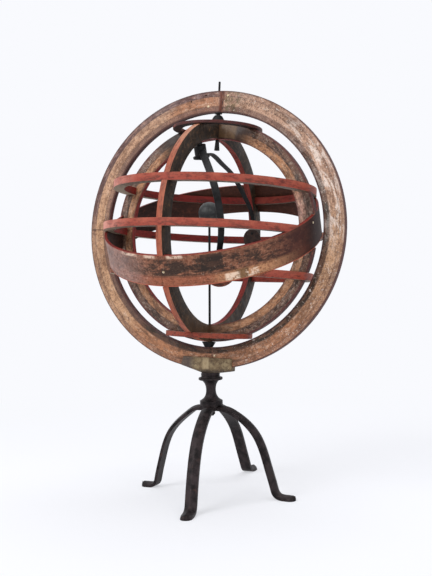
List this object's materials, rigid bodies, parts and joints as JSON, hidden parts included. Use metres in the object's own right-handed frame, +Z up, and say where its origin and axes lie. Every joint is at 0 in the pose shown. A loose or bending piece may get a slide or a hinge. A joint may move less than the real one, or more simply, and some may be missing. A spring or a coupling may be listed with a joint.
{
  "type": "armillary sphere",
  "caption": "Armillary sphere of broad flat rings turning on a leaning polar pin inside a meridian ring, with sun and moon arms, on a turned pillar and splayed strap legs.",
  "frame": {"origin": "on the table, under the middle of the whole", "axes": "+Z up, -Y to the front, +X to the right along the meridian ring"},
  "size_m": [0.28, 0.2268, 0.4133],
  "materials": {
    "iron": "dark, worn, slightly shiny",
    "saddle_board": "varnished, worn olive brown",
    "meridian_paper": "printed paper on pasteboard, browned varnish",
    "ring_paper": "painted red edges, browned printed faces",
    "band_paper": "mottled brown varnished paper",
    "brass_nail": "tarnished",
    "earth_black": "black paint, rubbed",
    "disc_gilt": "old red-brown gilding",
    "disc_black": "blackened"
  },
  "bodies": {
    "stand": {"side_legs": "iron", "fore_legs": "iron", "pillar": "iron", "tang": "iron", "tang_nut": "iron", "saddle_bed": "saddle_board", "saddle_cheek_front": "saddle_board", "saddle_cheek_back": "saddle_board", "saddle_pad": "iron", "meridian_left": "meridian_paper", "meridian_right": "meridian_paper", "meridian_nails": "brass_nail", "north_pin": "iron", "north_bead": "iron", "north_peg": "iron", "south_knob": "iron", "earth_rod": "iron", "earth_ball": "earth_black"},
    "celestial_sphere": {"equinoctial_colure": "ring_paper", "solstitial_colure": "ring_paper", "equator": "ring_paper", "tropic_of_cancer": "ring_paper", "tropic_of_capricorn": "ring_paper", "arctic_ring": "ring_paper", "antarctic_ring": "ring_paper", "ecliptic_band": "band_paper", "ecliptic_nails": "brass_nail", "pivot_pin": "iron", "pivot_washer": "iron"},
    "sun_hand": {"sun_arm": "iron", "sun_disc": "disc_gilt", "sun_rivet": "iron"},
    "moon_hand": {"moon_arm": "iron", "moon_disc": "disc_black", "moon_rivet": "iron"}
  },
  "joints": [
    {"name": "sphere_spin", "type": "hinge", "parent": "stand", "child": "celestial_sphere", "pos_m": [0.00161, 0.00293, 0.26145], "axis": [0.0445, 0.0784, 0.9959], "continuous": true},
    {"name": "sun_turn", "type": "hinge", "parent": "celestial_sphere", "child": "sun_hand", "pos_m": [0.00161, 0.00293, 0.26145], "axis": [0.0242, -0.3483, 0.9371], "continuous": true},
    {"name": "moon_turn", "type": "hinge", "parent": "celestial_sphere", "child": "moon_hand", "pos_m": [0.00161, 0.00293, 0.26145], "axis": [0.0242, -0.3483, 0.9371], "continuous": true}
  ]
}
